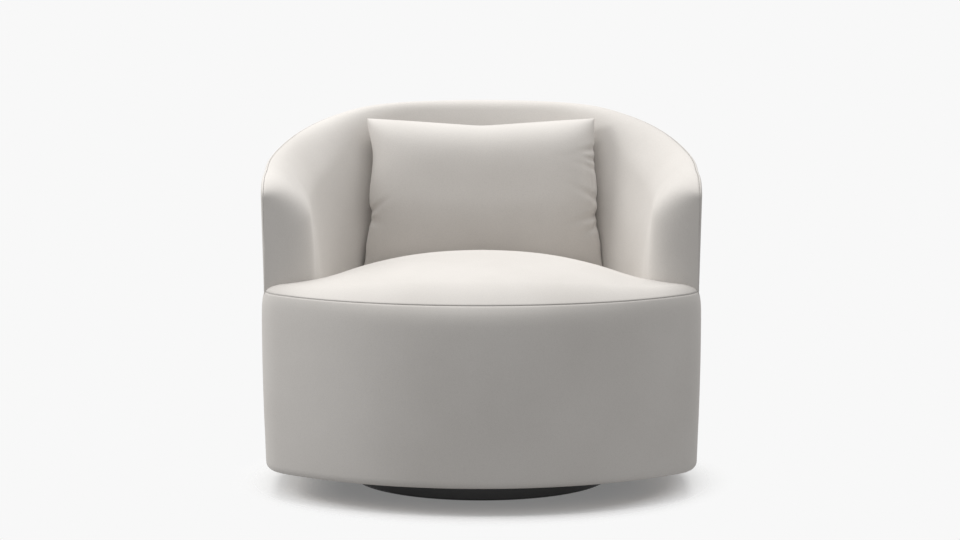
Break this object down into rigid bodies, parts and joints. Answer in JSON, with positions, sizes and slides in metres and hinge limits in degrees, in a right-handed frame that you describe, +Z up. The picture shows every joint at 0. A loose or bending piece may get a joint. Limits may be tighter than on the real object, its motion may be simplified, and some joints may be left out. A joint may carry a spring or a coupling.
{
  "type": "swivel chair",
  "caption": "Upholstered barrel armchair with a wrap-round back and arms on a drum seat, a loose lumbar pillow and a round black plinth it swivels on.",
  "frame": {"origin": "on the floor, on the swivel axis, under the middle of the chair", "axes": "+Z up, -Y towards the open front of the seat, +X to the right seen from the front"},
  "size_m": [0.8205, 0.77, 0.6888],
  "materials": {
    "upholstery": "short smooth pile, light warm grey",
    "foam": "open-cell foam",
    "fibre": "polyester fibre",
    "black_cloth": "thin non-woven cloth",
    "webbing": "woven elastic webbing",
    "black_board": "satin black lacquer on board",
    "glide": "matte",
    "ball_steel": "polished",
    "plate_steel": "black pressed steel",
    "zinc": "zinc plated",
    "hardboard": "bent hardboard",
    "plywood": "birch plywood"
  },
  "bodies": {
    "base": {"floor_glides": "glide", "plinth": "black_board", "turntable_lower_plate": "plate_steel", "lower_plate_screws": "zinc"},
    "bearing": {"bearing_balls": "ball_steel", "ball_cage": "plate_steel"},
    "chair": {"arm_rail_left": "plywood", "arm_rail_right": "plywood", "back_rib_left_1": "plywood", "back_rib_left_2": "plywood", "back_rib_left_3": "plywood", "back_rib_left_4": "plywood", "back_rib_left_5": "plywood", "back_rib_middle": "plywood", "back_rib_right_1": "plywood", "back_rib_right_2": "plywood", "back_rib_right_3": "plywood", "back_rib_right_4": "plywood", "back_rib_right_5": "plywood", "back_top_rail": "plywood", "base_board": "plywood", "boxing_cover": "upholstery", "boxing_pad": "foam", "deck_cloth": "black_cloth", "drum_posts": "plywood", "drum_wall": "hardboard", "dust_cover": "black_cloth", "inside_back_cover": "upholstery", "inside_back_foam": "foam", "inside_back_panel": "hardboard", "outside_back_cover": "upholstery", "outside_back_panel": "hardboard", "outside_wadding": "fibre", "rib_screws": "zinc", "seat_cover": "upholstery", "seat_foam": "foam", "seat_rail": "plywood", "tee_nuts": "zinc", "turntable_upper_plate": "plate_steel", "upper_plate_bolts": "zinc", "webbing_crosswise": "webbing", "webbing_lengthwise": "webbing"},
    "pillow": {"pillow_cover": "upholstery", "pillow_insert": "fibre"}
  },
  "joints": [
    {"name": "swivel", "type": "hinge", "parent": "base", "child": "chair", "pos_m": [0, 0, 0.04025], "axis": [0, 0, 1], "continuous": true},
    {"name": "bearing_spin", "type": "hinge", "parent": "base", "child": "bearing", "pos_m": [0, 0, 0.04025], "axis": [0, 0, 1], "continuous": true},
    {"name": "pillow_lift", "type": "slide", "parent": "chair", "child": "pillow", "axis": [0, 0, 1], "range_m": [0, 0.3]}
  ],
  "couplings": [
    {"joint": "bearing_spin", "follows": "swivel", "ratio": 0.5}
  ]
}
